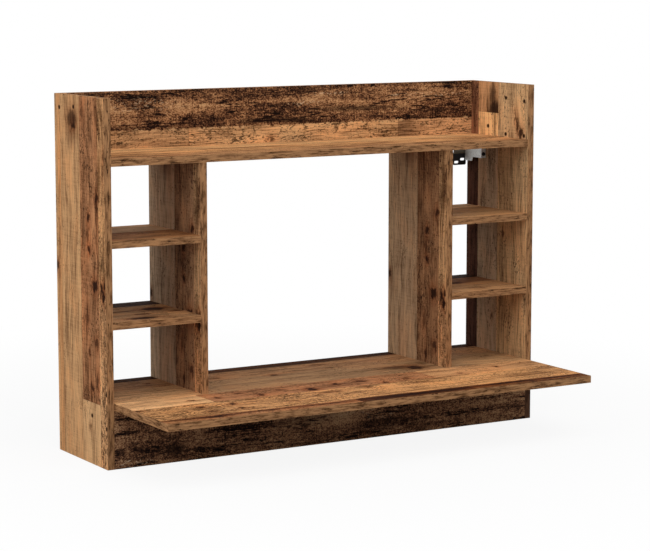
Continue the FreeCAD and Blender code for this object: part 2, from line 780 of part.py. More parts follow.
def mirror_left(source):
    """The left twin of a right-hand sub-part."""
    label = source.Label.replace("right_", "left_")
    twin = doc.addObject("Part::Mirroring", label)
    twin.Label = label
    twin.Source = source
    twin.Normal = FreeCAD.Vector(1, 0, 0)
    return twin


def check(nodes):
    """Stops the build if a feature failed, a pocket cut nothing or a sub-part's shape is not sound."""
    for item in doc.Objects:
        owner = item.getParentGeoFeatureGroup()
        name = f"{item.Label} of {owner.Label}" if owner else item.Label
        if "Invalid" in item.State or "Error" in item.State:
            raise RuntimeError(f"{name} failed: {item.getStatusString()}")
        if item.isDerivedFrom("PartDesign::Pocket") and item.Shape.Volume >= item.BaseFeature.Shape.Volume:
            raise RuntimeError(f"{name} cuts nothing")
    for node in nodes:
        if node.Shape.isNull() or not node.Shape.isValid() or not node.Shape.Solids:
            raise RuntimeError(f"{node.Label} has no sound shape")


add_boards()
add_housing()
add_carriage()
add_hook()
add_adjusters()
add_wall_plate()
add_connectors()
drill_boards()
pins = group("right_hanger_pins", right_hanger_pins)
twins = [body for label, body in bodies.items() if label.startswith("right_")] + [pins]
nodes = [body for body in bodies.values()] + [pins]
nodes += [mirror_left(source) for source in twins]
nodes += [
    group("cam_locks", cam_locks),
    group("cam_bolts", cam_bolts),
    group("wood_dowels", wood_dowels),
    group("divider_screws", divider_screws),
]
doc.recompute()
check(nodes)
os.makedirs("parts", exist_ok=True)
for node in nodes:
    node.Shape.exportStep(f"parts/{node.Label}.step")
    print(node.Label, len(node.Shape.Solids), round(node.Shape.Volume), node.Shape.BoundBox)
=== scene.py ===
import math
import bpy
from collections import namedtuple
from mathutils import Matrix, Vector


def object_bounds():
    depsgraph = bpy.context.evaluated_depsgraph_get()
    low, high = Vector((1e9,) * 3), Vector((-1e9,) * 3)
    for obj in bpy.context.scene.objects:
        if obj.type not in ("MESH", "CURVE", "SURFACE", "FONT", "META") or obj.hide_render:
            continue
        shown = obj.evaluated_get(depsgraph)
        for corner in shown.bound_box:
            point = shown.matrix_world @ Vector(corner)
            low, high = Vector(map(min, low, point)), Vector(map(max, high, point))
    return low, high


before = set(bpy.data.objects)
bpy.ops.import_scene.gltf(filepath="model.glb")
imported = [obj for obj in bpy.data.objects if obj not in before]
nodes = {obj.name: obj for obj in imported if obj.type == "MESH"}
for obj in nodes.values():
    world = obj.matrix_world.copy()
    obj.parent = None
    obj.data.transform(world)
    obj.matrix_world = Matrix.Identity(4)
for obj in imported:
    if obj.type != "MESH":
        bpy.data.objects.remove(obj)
cad_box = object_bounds()

MM = 1000.0
X, Y, Z = range(3)
WHITE = (1.0, 1.0, 1.0, 1.0)
# The mean of every noise
MIDDLE = 0.5


def srgb(red, green, blue):
    """A colour written in display values from 0 to 255, as linear light, by the sRGB curve."""
    def linear(value):
        value /= 255
        return value / 12.92 if value <= 0.04045 else ((value + 0.055) / 1.055) ** 2.4
    return (linear(red), linear(green), linear(blue), 1.0)


class Nodes:
    """Adds nodes to a tree; every value given may be a number, a tuple or another node's output."""

    def __init__(self, tree):
        self.tree = tree
        tree.nodes.clear()

    def feed(self, socket, value):
        """Links an input to an output, or sets it."""
        if isinstance(value, bpy.types.NodeSocket):
            self.tree.links.new(value, socket)
        else:
            socket.default_value = value

    def node(self, kind, *values, **settings):
        """A new node, with its settings and the values of its first inputs."""
        made = self.tree.nodes.new(kind)
        for name, value in settings.items():
            setattr(made, name, value)
        for socket, value in zip(made.inputs, values):
            self.feed(socket, value)
        return made

    def math(self, operation, *values):
        return self.node("ShaderNodeMath", *values, operation=operation).outputs[0]

    def vector(self, operation, *values):
        made = self.node("ShaderNodeVectorMath", *values, operation=operation)
        return made.outputs["Value" if operation == "LENGTH" else "Vector"]

    def join(self, x, y, z=0.0):
        return self.node("ShaderNodeCombineXYZ", x, y, z).outputs[0]

    def split(self, vector):
        return self.node("ShaderNodeSeparateXYZ", vector).outputs

    def object_point(self):
        """The place on the object, in metres."""
        return self.node("ShaderNodeTexCoord").outputs["Object"]

    def fade(self, value, low, high, start=0.0, end=1.0):
        """Runs smoothly from start to end as the value goes from low to high."""
        values = (value, low, high, start, end)
        return self.node("ShaderNodeMapRange", *values, interpolation_type="SMOOTHSTEP").outputs[0]

    def blend(self, data_type, suffix, factor, first, second, **settings):
        """The result of a mix node, whose sockets are named after the kind of data."""
        made = self.node("ShaderNodeMix", data_type=data_type, **settings)
        inputs = {socket.identifier: socket for socket in made.inputs}
        outputs = {socket.identifier: socket for socket in made.outputs}
        self.feed(inputs["Factor_Float"], factor)
        self.feed(inputs[f"A_{suffix}"], first)
        self.feed(inputs[f"B_{suffix}"], second)
        return outputs[f"Result_{suffix}"]

    def mix(self, factor, first, second, blend_type="MIX"):
        """A colour between two others, or their product."""
        return self.blend("RGBA", "Color", factor, first, second, blend_type=blend_type)

    def choose(self, factor, first, second):
        """A number between two others."""
        return self.blend("FLOAT", "Float", factor, first, second)

    def ramp(self, factor, stops, steps=False):
        """A colour that runs, or changes in steps, through stops of a position and a colour."""
        made = self.node("ShaderNodeValToRGB", factor)
        made.color_ramp.interpolation = "CONSTANT" if steps else "LINEAR"
        elements = made.color_ramp.elements
        while len(elements) < len(stops):
            elements.new(1.0)
        for element, (position, colour) in zip(elements, stops):
            element.position = position
            element.color = colour
        return made.outputs[0]

    def noise(self, vector, detail, roughness, distortion=0.0):
        """Noise whose size is set by the vector's own scale."""
        made = self.node("ShaderNodeTexNoise", noise_dimensions="3D")
        settings = {
            "Vector": vector,
            "Scale": 1.0,
            "Detail": detail,
            "Roughness": roughness,
            "Distortion": distortion,
        }
        for name, value in settings.items():
            self.feed(made.inputs[name], value)
        return made.outputs[0]

    def centred(self, noise):
        """A noise's distance above its mean."""
        return self.math("SUBTRACT", noise, MIDDLE)

    def apart(self, value, place):
        """How far a value lies from a place, on either side."""
        return self.math("ABSOLUTE", self.math("SUBTRACT", value, place))

    def within(self, value, low, high):
        """1 where a value lies between two others, else 0."""
        return self.math("COMPARE", value, (low + high) / 2, (high - low) / 2)

    def total(self, weighted):
        """The sum of values, each times its weight."""
        (value, weight), *others = weighted
        result = self.math("MULTIPLY", value, weight)
        for value, weight in others:
            result = self.math("MULTIPLY_ADD", value, weight, result)
        return result

    def largest(self, values):
        result = values[0]
        for value in values[1:]:
            result = self.math("MAXIMUM", result, value)
        return result

    def seen(self):
        """1 for rays that look straight at a surface, mirror it or come through glass, else 0."""
        path = self.node("ShaderNodeLightPath").outputs
        return self.largest([path[f"Is {kind} Ray"] for kind in ("Camera", "Glossy", "Transmission")])


class Shader(Nodes):
    """One material with a principled surface."""

    def __init__(self, name):
        self.material = bpy.data.materials.new(name)
        self.material.use_nodes = True
        super().__init__(self.material.node_tree)
        self.surface = self.node("ShaderNodeBsdfPrincipled")
        self.node("ShaderNodeOutputMaterial", self.surface.outputs["BSDF"])

    def finish(self, colour, roughness, relief, strength, distance):
        """Sets the colour, the roughness and the bump, and gives the material."""
        bump = self.node("ShaderNodeBump")
        self.feed(bump.inputs["Strength"], strength)
        self.feed(bump.inputs["Distance"], distance)
        self.feed(bump.inputs["Height"], relief)
        self.feed(self.surface.inputs["Base Color"], colour)
        self.feed(self.surface.inputs["Roughness"], roughness)
        self.feed(self.surface.inputs["Normal"], bump.outputs[0])
        return self.material


# Printed boards, drawn in millimetres: u runs along the planks, v across them and w through the board

# The direction of u, v or w: an axis of the frame, a sign, and the offset that puts its zero in place
Way = namedtuple("Way", "axis sign offset")
# One plank: the v at its far edge, its colour, and its shares of pits and of dark weathering
Plank = namedtuple("Plank", "end colour pits weather")
# A box drawn over the planks, for a piece let in and, on the desk board and the right side panel, for
# painted light and shade: its box, its colour, and its shares of pits and of dark weathering
Patch = namedtuple("Patch", "low_u high_u low_v high_v colour pits weather")
# A spot: its centre, half its length and half its width, and its depth, or how far it changes a band
Mark = namedtuple("Mark", "u v long wide depth")
# A weathered band: its two edges and how ragged they are, how much lighter it is at some v, marks that
# lighten or darken it, marks where it has pale chips, and a cast over all its colours
Band = namedtuple("Band", "low high ragged gains shades chips cast", defaults=(WHITE,))
# A noise: cycles a millimetre along and across, a number that sets it apart, and how it is made
Field = namedtuple("Field", "along across shift detail roughness distortion", defaults=(0.55, 0.0))

FIELDS = {
    # grain
    "wander": Field(0.005, 0.014, 1.0, 2.0),
    "fine": Field(0.016, 0.40, 2.0, 4.0, 0.72),
    "streak": Field(0.004, 0.075, 3.0, 5.0, 0.6),
    "cloud": Field(0.010, 0.020, 4.0, 3.0, 0.5),
    "saw": Field(0.35, 0.012, 5.0, 3.0, 0.7),
    # wear
    "flock": Field(0.013, 0.028, 6.0, 3.0, 0.6),
    "grit": Field(0.15, 0.34, 7.0, 3.0, 0.65),
    "gloom": Field(0.011, 0.045, 8.0, 6.0, 0.72, 0.4),
    "crack": Field(0.0045, 0.085, 19.0, 3.0, 0.5),
    "crack_runs": Field(0.018, 0.06, 20.0, 3.0, 0.6),
    # outlines of marks
    "torn_along": Field(0.05, 0.14, 9.0, 5.0, 0.7),
    "torn_across": Field(0.06, 0.12, 10.0, 5.0, 0.7),
    # weathered bands
    "teeth": Field(0.08, 0.05, 11.0, 6.0, 0.8),
    "crumble": Field(0.08, 0.18, 12.0, 6.0, 0.8, 0.4),
    "ribs": Field(0.004, 0.075, 13.0, 5.0, 0.65, 0.3),
    "pocks": Field(0.28, 0.36, 14.0, 2.0, 0.7),
    "mass": Field(0.009, 0.022, 15.0, 3.0, 0.5),
    "lip": Field(0.05, 0.05, 21.0, 3.0, 0.6),
    "band_sway": Field(0.006, 0.02, 22.0, 3.0, 0.6),
    "comb": Field(0.32, 0.016, 23.0, 3.0, 0.7),
    "chips": Field(0.12, 0.22, 24.0, 3.0, 0.7),
    "rift": Field(0.0035, 0.050, 25.0, 4.0, 0.6),
    "rift_runs": Field(0.012, 0.03, 26.0, 4.0, 0.65),
    # edges
    "stripe": Field(0.030, 0.36, 16.0, 4.0, 0.70),
    "blotch": Field(0.03, 0.12, 17.0, 4.0, 0.65),
    "flecks": Field(0.11, 0.32, 18.0, 3.0, 0.65),
}
# How far one step of a field's number moves it
FIELD_STEP = (3.1, 5.7, 1.3)

# Fades, as low, high, start and end
REDDENING = (0.48, 0.68, 0.0, 0.5)
CRACK = (0.002, 0.012, 0.62, 0.0)
CRACK_RUNS = (0.50, 0.62, 0.0, 1.0)
PITS = (0.66, 0.74, 0.0, 0.82)
GLOOM = (0.62, 0.82, 0.0, 0.74)
SEAM = (0.2, 1.0, 0.30, 0.0)
LIP = (0.50, 0.62, 0.0, 0.7)
RIFT = (0.004, 0.030, 0.42, 0.0)
RIFT_RUNS = (0.46, 0.56, 0.0, 1.0)
CHIPS = (0.56, 0.62, 0.0, 1.0)
FLECKS = (0.61, 0.69, 0.0, 0.85)

# Shares of a mark's radius over which it fades out
KNOT_SOFT = 0.55
HALO_SOFT = 0.9
STAIN_SOFT = 0.9
CLIPPED_SOFT = 0.8
NAIL_SOFT = 0.4
SHADE_SOFT = 0.8
CHIP_SOFT = 0.6
# A knot's halo is so much longer, wider and fainter than the knot
HALO_LONG, HALO_WIDE, HALO_DEPTH = 2.4, 1.8, 0.9
NAIL_LONG, NAIL_WIDE, NAIL_DEPTH = 5.4, 5.8, 0.97
# How far the outlines of marks are torn along and across the planks
TEAR_ALONG, TEAR_ACROSS = 48.0, 26.0
IN_PLANE = (1.0, 1.0, 0.0)
# A normal with more than this share along an axis faces that way
FACING = 0.5

# How far grain wanders across, and how far apart in the noise the grain of two planks lies
WANDER = 40.0
LANE_JUMP, LANE_DEPTH = 900.0, 50.0
PLANK_LANE, PATCH_LANE = 0.37, 0.83
GRAIN_WEIGHTS = {"fine": 0.45, "streak": 0.30, "cloud": 0.14, "saw": 0.11}
PLAIN_BOLDNESS, PITTED_BOLDNESS = 0.6, 0.9
FLOCK_WEIGHT = 0.50
PITS_WEIGHT = 0.20
GLOOM_WEIGHT = 0.26
BAND_WEIGHTS = {"crumble": 0.38, "ribs": 0.18, "pocks": 0.32, "comb": 0.12}
MASS_WEIGHT = 0.18
BAND_CONTRAST = 3.3
BAND_SWAY = 46.0
LIP_WIDTH = 4.5
EDGE_WEIGHTS = {"stripe": 0.55, "blotch": 0.45}
EDGE_CONTRAST = 4.4
# How far the edges' noise lies from the faces' noise
EDGE_DEPTH = 4.0
BLOTCH_FLECKS = -0.45

FOIL_SPECULAR = 0.015
FOIL_ROUGHNESS, GRAIN_ROUGHNESS, DARK_ROUGHNESS = 0.56, 0.24, 0.12
DARK_RELIEF = -0.35
FOIL_BUMP, FOIL_BUMP_DISTANCE = 0.30, 0.0005

DARK = srgb(40, 24, 18)
REDDENED = (1.10, 0.92, 0.80, 1)
HALO_TINT = (0.72, 0.52, 0.44, 1)
PALE_LIP = srgb(224, 180, 130)
PALE_CHIP = srgb(236, 200, 158)
STAINED_BARK = srgb(30, 18, 15)
# How much lighter or darker the grain makes a plank's own colour
TONES = [
    (0.0, (0.30, 0.26, 0.23, 1)),
    (0.30, (0.62, 0.58, 0.55, 1)),
    (0.44, (0.90, 0.88, 0.87, 1)),
    (0.54, (1.04, 1.03, 1.02, 1)),
    (0.70, (1.20, 1.19, 1.16, 1)),
    (1.0, (1.42, 1.40, 1.34, 1)),
]
# A weathered band from its hollows to its worn ribs
BARK = [
    (0.22, srgb(28, 18, 14)),
    (0.36, srgb(58, 37, 27)),
    (0.48, srgb(104, 69, 47)),
    (0.58, srgb(146, 101, 68)),
    (0.70, srgb(182, 134, 92)),
    (0.84, srgb(208, 163, 115)),
]


class BoardPrint(Shader):
    """The foil of one board. Its draw methods are called in the order in which they stand here."""

    def __init__(self, name, ways, width, seed):
        super().__init__(name)
        self.axes = self.split(self.vector("MULTIPLY", self.object_point(), (MM, MM, MM)))
        self.normal = self.split(self.node("ShaderNodeNewGeometry").outputs["Normal"])
        grain, _, thin = ways
        self.on_end, self.on_face = self.faces(grain), self.faces(thin)
        self.u, self.v, self.w = (self.measure(way) for way in ways)
        self.width = width
        self.seed = seed
        self.flat = self.join(self.u, self.v, seed)
        self.level = self.vector("MULTIPLY", self.flat, IN_PLANE)
        along = self.math("MULTIPLY", self.centred(self.field("torn_along", self.flat)), TEAR_ALONG)
        across = self.math("MULTIPLY", self.centred(self.field("torn_across", self.flat)), TEAR_ACROSS)
        torn = self.vector("ADD", self.flat, self.join(along, across))
        self.torn = self.vector("MULTIPLY", torn, IN_PLANE)

    def measure(self, way):
        return self.math("MULTIPLY_ADD", self.axes[way.axis], way.sign, way.offset)

    def faces(self, way):
        """1 where the surface faces along a way's axis, else 0."""
        return self.math("GREATER_THAN", self.math("ABSOLUTE", self.normal[way.axis]), FACING)

    def field(self, name, base):
        """One of the noises, over a place in millimetres."""
        kind = FIELDS[name]
        scaled = self.vector("MULTIPLY", base, (kind.along, kind.across, 1.0))
        moved = self.vector("ADD", scaled, tuple(kind.shift * step for step in FIELD_STEP))
        return self.noise(moved, kind.detail, kind.roughness, kind.distortion)

    def spot(self, place, mark, soft):
        """A mark at its full depth, fading out over the soft share of its radius."""
        away = self.vector("SUBTRACT", place, (mark.u, mark.v, 0))
        scaled = self.vector("MULTIPLY", away, (1 / mark.long, 1 / mark.wide, 0))
        return self.fade(self.vector("LENGTH", scaled), 1 - soft, 1.0, mark.depth, 0.0)

    def in_box(self, low_u, high_u, low_v, high_v):
        """1 inside a box of u and v, else 0."""
        return self.math("MULTIPLY", self.within(self.u, low_u, high_u), self.within(self.v, low_v, high_v))

    def draw_planks(self, planks, patches):
        """Colours and shares of wear that change in steps from plank to plank."""
        starts = [0.0] + [plank.end / self.width for plank in planks[:-1]]
        share = self.math("MULTIPLY", self.v, 1 / self.width)
        colours = [(start, srgb(*plank.colour)) for start, plank in zip(starts, planks)]
        traits = [
            (start, (plank.pits, plank.weather, index * PLANK_LANE % 1, 1))
            for index, (start, plank) in enumerate(zip(starts, planks))
        ]
        self.colour = self.ramp(share, colours, steps=True)
        shares = self.split(self.ramp(share, traits, steps=True))
        self.pits_share, self.weather_share, self.lane_share = shares
        for patch in patches:
            here = self.in_box(patch.low_u, patch.high_u, patch.low_v, patch.high_v)
            self.colour = self.mix(here, self.colour, srgb(*patch.colour))
            self.pits_share = self.choose(here, self.pits_share, patch.pits)
            self.weather_share = self.choose(here, self.weather_share, patch.weather)
            self.lane_share = self.choose(here, self.lane_share, PATCH_LANE)

    def draw_grain(self, bold):
        """Grain that wanders a little along each plank and differs from plank to plank."""
        sway = self.math("MULTIPLY_ADD", self.field("wander", self.flat), WANDER, self.v)
        jump = self.math("MULTIPLY", self.lane_share, LANE_JUMP)
        depth = self.math("MULTIPLY_ADD", self.lane_share, LANE_DEPTH, self.seed)
        self.lane = self.join(self.math("ADD", self.u, jump), sway, depth)
        parts = {name: self.field(name, self.lane) for name in GRAIN_WEIGHTS}
        self.fine = parts["fine"]
        self.value = self.total([(parts[name], weight) for name, weight in GRAIN_WEIGHTS.items()])
        boldness = self.math("MULTIPLY_ADD", self.pits_share, PITTED_BOLDNESS * bold, PLAIN_BOLDNESS * bold)
        contrast = self.math("MULTIPLY_ADD", self.centred(self.value), boldness, MIDDLE)
        self.colour = self.mix(1.0, self.colour, self.ramp(contrast, TONES), "MULTIPLY")
        redder = self.fade(parts["cloud"], *REDDENING)
        self.colour = self.mix(redder, self.colour, REDDENED, "MULTIPLY")

    def draw_wear(self):
        """Thin cracks along the grain, pits in loose flocks, and places where the wood has gone dark."""
        crack = self.fade(self.apart(self.field("crack", self.lane), MIDDLE), *CRACK)
        runs = self.fade(self.field("crack_runs", self.lane), *CRACK_RUNS)
        flock = self.centred(self.field("flock", self.lane))
        pitted = self.math("MULTIPLY_ADD", flock, FLOCK_WEIGHT, self.field("grit", self.lane))
        pitted = self.math("MULTIPLY_ADD", self.pits_share, PITS_WEIGHT, pitted)
        gloom = self.math("MULTIPLY_ADD", self.weather_share, GLOOM_WEIGHT, self.field("gloom", self.lane))
        cracks = self.math("MULTIPLY", crack, runs)
        self.darks = [self.fade(pitted, *PITS), self.fade(gloom, *GLOOM), cracks]

    def draw_marks(self, knots, stains, clipped, nails):
        """Knots with a red halo, stains, marks that end at a seam, and nail holes."""
        for knot in knots:
            self.darks.append(self.spot(self.torn, knot, KNOT_SOFT))
            ring = knot._replace(
                long=knot.long * HALO_LONG, wide=knot.wide * HALO_WIDE, depth=knot.depth * HALO_DEPTH,
            )
            halo = self.spot(self.torn, ring, HALO_SOFT)
            self.colour = self.mix(halo, self.colour, HALO_TINT, "MULTIPLY")
        for stain in stains:
            self.darks.append(self.spot(self.torn, stain, STAIN_SOFT))
        for box, mark in clipped:
            dark = self.spot(self.torn, mark, CLIPPED_SOFT)
            self.darks.append(self.math("MULTIPLY", self.in_box(*box), dark))
        for nail in nails:
            hole = Mark(*nail, NAIL_LONG, NAIL_WIDE, NAIL_DEPTH)
            self.darks.append(self.spot(self.level, hole, NAIL_SOFT))

    def draw_seams(self, planks, patches):
        """Thin dark lines where planks and patches meet; then all that is dark so far goes on."""
        for plank in planks[:-1]:
            self.darks.append(self.fade(self.apart(self.v, plank.end), *SEAM))
        for patch in patches:
            beside = self.within(self.v, patch.low_v, patch.high_v)
            for end in (patch.low_u, patch.high_u):
                line = self.fade(self.apart(self.u, end), *SEAM)
                self.darks.append(self.math("MULTIPLY", beside, line))
        self.darkness = self.largest(self.darks)
        self.colour = self.mix(self.darkness, self.colour, DARK)

    def draw_band(self, band, stains):
        """A weathered band of black-brown hollows, worn brown ribs and pale chips."""
        def over(name):
            return self.field(name, self.flat)

        ragged_v = self.math("MULTIPLY_ADD", self.centred(over("teeth")), band.ragged, self.v)
        here = self.within(ragged_v, band.low, band.high)
        lip = self.within(ragged_v, band.high, band.high + LIP_WIDTH)
        lip = self.math("MULTIPLY", lip, self.fade(over("lip"), *LIP))
        self.colour = self.mix(lip, self.colour, PALE_LIP)

        sway_v = self.math("MULTIPLY_ADD", self.centred(over("band_sway")), BAND_SWAY, self.v)
        gains = [(at / self.width, (MIDDLE + change,) * 3 + (1.0,)) for at, change in band.gains]
        gain = self.ramp(self.math("MULTIPLY", sway_v, 1 / self.width), gains)
        height = self.total([(over(name), weight) for name, weight in BAND_WEIGHTS.items()])
        height = self.math("MULTIPLY_ADD", self.centred(over("mass")), MASS_WEIGHT, height)
        height = self.math("MULTIPLY_ADD", self.centred(height), BAND_CONTRAST, gain)
        rift = self.fade(self.apart(over("rift"), MIDDLE), *RIFT)
        runs = self.fade(over("rift_runs"), *RIFT_RUNS)
        height = self.math("SUBTRACT", height, self.math("MULTIPLY", rift, runs))
        for shade in band.shades:
            height = self.math("ADD", height, self.spot(self.torn, shade, SHADE_SOFT))

        bark = self.ramp(height, BARK)
        for stain in stains:
            bark = self.mix(self.spot(self.torn, stain, STAIN_SOFT), bark, STAINED_BARK)
        bright = self.fade(over("chips"), *CHIPS)
        for chip in band.chips:
            shown = self.math("MULTIPLY", bright, self.spot(self.torn, chip, CHIP_SOFT))
            bark = self.mix(shown, bark, PALE_CHIP)
        bark = self.mix(1.0, bark, band.cast, "MULTIPLY")
        self.colour = self.mix(here, self.colour, bark)
        self.value = self.choose(here, self.value, height)

    def draw_edges(self, edge, shaded_foot):
        """Narrow stripes with dark flecks on the edges; from the u of a shaded foot on, they have a darker
        colour, which is painted shade.
        """
        along = self.choose(self.on_end, self.u, self.v)
        strip = self.join(along, self.w, self.seed + EDGE_DEPTH)
        parts = {name: self.field(name, strip) for name in EDGE_WEIGHTS}
        stripes = self.total([(parts[name], weight) for name, weight in EDGE_WEIGHTS.items()])
        stripes = self.math("MULTIPLY_ADD", self.centred(stripes), EDGE_CONTRAST, MIDDLE)
        colour = srgb(*edge)
        if shaded_foot is not None:
            start, shaded_foot_colour = shaded_foot
            colour = self.mix(self.math("GREATER_THAN", self.u, start), colour, srgb(*shaded_foot_colour))
        colour = self.mix(1.0, colour, self.ramp(stripes, TONES), "MULTIPLY")
        blotch = self.centred(parts["blotch"])
        flecks = self.math("MULTIPLY_ADD", blotch, BLOTCH_FLECKS, self.field("flecks", strip))
        colour = self.mix(self.fade(flecks, *FLECKS), colour, DARK)
        self.colour = self.mix(self.on_face, colour, self.colour)

    def finish_foil(self):
        """The material, a little rougher and lower where it is dark."""
        gloss = self.math("MULTIPLY_ADD", self.fine, GRAIN_ROUGHNESS, FOIL_ROUGHNESS)
        gloss = self.math("MULTIPLY_ADD", self.darkness, DARK_ROUGHNESS, gloss)
        relief = self.math("MULTIPLY_ADD", self.darkness, DARK_RELIEF, self.value)
        self.feed(self.surface.inputs["Specular IOR Level"], FOIL_SPECULAR)
        return self.finish(self.colour, gloss, relief, FOIL_BUMP, FOIL_BUMP_DISTANCE)


# Colours of the printed planks and of the edge bands
TAN = (205, 158, 112)
PALE = (219, 173, 125)
BROWN = (181, 127, 88)
OAK = (170, 126, 88)
UMBER = (112, 76, 52)
EDGE = (164, 121, 84)
DARK_EDGE = (96, 66, 46)
# From the apron's top down, the right side panel's edges are darker: painted shade of the desk board over
# them
SHADED_FOOT_EDGE = (96, 68, 52)


def marks(rows):
    return [Mark(*row) for row in rows]


def board_print(
    name, ways, width, planks, patches=(), knots=(), nails=(), stains=(), clipped=(), band=None,
    edge=EDGE, shaded_foot=None, seed=0.0, bold=4.6,
):
    """A board's foil: planks with grain, pits, knots and nail holes on its faces, stripes on its edges.

    ways are the directions of u, v and w, and width is the v to which the planks reach. planks and patches
    are rows of those kinds, knots and stains rows of marks, and nails places. clipped holds pairs of a box
    and a mark that shows only inside it. edge is the colour of the edge bands, and shaded_foot holds the u
    from which they have another, darker colour, and that colour: painted shade. seed sets the board's noise
    apart, and bold is the strength of the grain.
    """
    planks = [Plank(*row) for row in planks]
    patches = [Patch(*row) for row in patches]
    stains = marks(stains)
    clipped = [(box, Mark(*row)) for box, row in clipped]
    foil = BoardPrint(name, ways, width, seed)
    foil.draw_planks(planks, patches)
    foil.draw_grain(bold)
    foil.draw_wear()
    foil.draw_marks(marks(knots), stains, clipped, nails)
    foil.draw_seams(planks, patches)
    if band is not None:
        foil.draw_band(band, stains)
    foil.draw_edges(edge, shaded_foot)
    return foil.finish_foil()


# Places of the boards, in millimetres: heights, and the left end of what lies between the side panels
TOP = 176
SHELF_UNDER = 43.5
APRON_TOP = -436.5
LEFT_END = -495
# Widths over which the prints' planks are laid out
SIDE_WIDTH = 240.0
DESK_WIDTH = 480.0
UPRIGHT_WIDTH = 140.0
# The dividers' print starts so far down the left side panel's
DIVIDER_CUT = 60


def side_ways(top):
    """Planks that run down from the top, with v from the back edge."""
    return Way(Z, -1, top), Way(Y, -1, 0), Way(X, 1, 0)


def upright_ways(top):
    """Planks that run from the left end, with v from the top edge."""
    return Way(X, 1, -LEFT_END), Way(Z, -1, top), Way(Y, 1, 0)


# Planks that run from the left end, with v from the back edge
FLAT_WAYS = (Way(X, 1, -LEFT_END), Way(Y, -1, 0), Way(Z, 1, 0))

SIDE_PLANKS = [
    (11, TAN, 0.2, 0.2), (26, (208, 152, 103), 0.1, 0.0), (117, TAN, 0.1, 0.0), (200, BROWN, 0.5, 0.36),
    (240, (202, 151, 104), 0.6, 0.15),
]
# The dividers' planks are greyer copies of the side panel's, and the right divider's are also darker:
# painted shade of the bays they face
LEFT_DIVIDER_SHADED_PLANKS = [
    (117, (192, 164, 136), 0.15, 0.1), (200, (176, 135, 101), 0.5, 0.36), (240, (200, 157, 115), 0.6, 0.08),
]
RIGHT_DIVIDER_SHADED_PLANKS = [
    (117, (181, 148, 115), 0.15, 0.1), (200, (160, 116, 82), 0.5, 0.36), (240, (198, 153, 109), 0.6, 0.08),
]
SIDE_PATCHES = [(605, 800, 117, 200, PALE, 0.0, 0.0), (384, 800, 200, 240, (217, 166, 119), 0.74, 0.04)]
SIDE_KNOTS = [
    (48, 82, 25, 30, 0.80), (60, 88, 10, 15, 0.96), (370, 181, 17, 17, 0.95), (196, 192, 13, 11, 0.9),
    (238, 155, 11, 10, 0.9), (301, 156, 11, 9, 0.9), (273, 150, 24, 9, 0.6), (352, 6, 14, 9, 0.85),
    (374, 212, 20, 8, 0.97), (388, 222, 18, 7, 0.97), (362, 224, 12, 6, 0.9), (484, 186, 15, 12, 0.75),
    (575, 163, 13, 11, 0.85), (560, 188, 22, 9, 0.7), (505, 152, 18, 5, 0.75), (437, 146, 22, 10, 0.55),
    (110, 228, 14, 8, 0.65), (145, 222, 24, 5, 0.65), (60, 140, 40, 5, 0.45), (30, 130, 18, 10, 0.5),
    (210, 195, 22, 5, 0.55), (655, 152, 8, 9, 0.4),
]
SIDE_NAILS = [(27, 24), (23, 91), (632, 160), (580, 228), (648, 227)]
SIDE_STAINS = [
    (250, 133, 90, 16, 0.4), (450, 170, 130, 26, 0.30), (70, 78, 66, 40, 0.42), (480, 45, 120, 6, 0.30),
]


def side_print(name, top, planks):
    """The print that the left side panel and the dividers share, in the colours of the planks given, which
    for the dividers are greyer and darker as painted shade.
    """
    return board_print(
        name, side_ways(top), SIDE_WIDTH, planks, patches=SIDE_PATCHES, knots=SIDE_KNOTS, nails=SIDE_NAILS,
        stains=SIDE_STAINS, bold=5.8,
    )


finishes = {
    "left_side_panel": side_print("left_side_foil", TOP, SIDE_PLANKS),
    "left_divider": side_print("left_divider_foil", SHELF_UNDER + DIVIDER_CUT, LEFT_DIVIDER_SHADED_PLANKS),
    "right_divider": side_print("right_divider_foil", SHELF_UNDER + DIVIDER_CUT, RIGHT_DIVIDER_SHADED_PLANKS),
}

# A dark piece at the top of the right side panel, in front of its back strip
DARK_PIECE = (-10, 67, 43, 119)
finishes["right_side_panel"] = board_print(
    "right_side_foil", side_ways(TOP), SIDE_WIDTH,
    # The back strip and the plank in front of it are lighter above the top shelf, in the first two patches,
    # and darker and greyer below it, in the strip's plank and the third patch: painted light above the
    # shelf and painted shade below it, on both faces. The strip's print is also darker below.
    [(43, (92, 62, 50), 0.4, 0.65), (119, (204, 153, 107), 0.25, 0.0), (240, (206, 168, 124), 0.35, 0.05)],
    patches=[
        (-10, 118, 0, 43, (148, 101, 73), 0.5, 0.4), (67, 126, 43, 119, (252, 200, 140), 0.3, 0.0),
        (126, 760, 43, 119, (196, 168, 138), 0.25, 0.25),
    ],
    clipped=[
        (DARK_PIECE, (60, 106, 40, 44, 0.95)), (DARK_PIECE, (30, 96, 40, 18, 0.75)),
        (DARK_PIECE, (68, 92, 20, 34, 0.9)), (DARK_PIECE, (54, 86, 40, 22, 0.5)),
    ],
    knots=[
        (106, 204, 16, 11, 0.9), (88, 190, 24, 6, 0.8), (70, 182, 16, 4, 0.7), (330, 140, 12, 6, 0.7),
        (520, 100, 12, 7, 0.6), (610, 190, 12, 7, 0.6),
    ],
    nails=[(32, 147), (36, 215), (111, 147), (111, 215), (97, 80)],
    stains=[(190, 90, 70, 10, 0.5), (420, 140, 160, 12, 0.35)],
    # Below the apron's top the edges are darker: painted shade of the desk board
    shaded_foot=(TOP - APRON_TOP, SHADED_FOOT_EDGE), seed=7.0, bold=5.4,
)
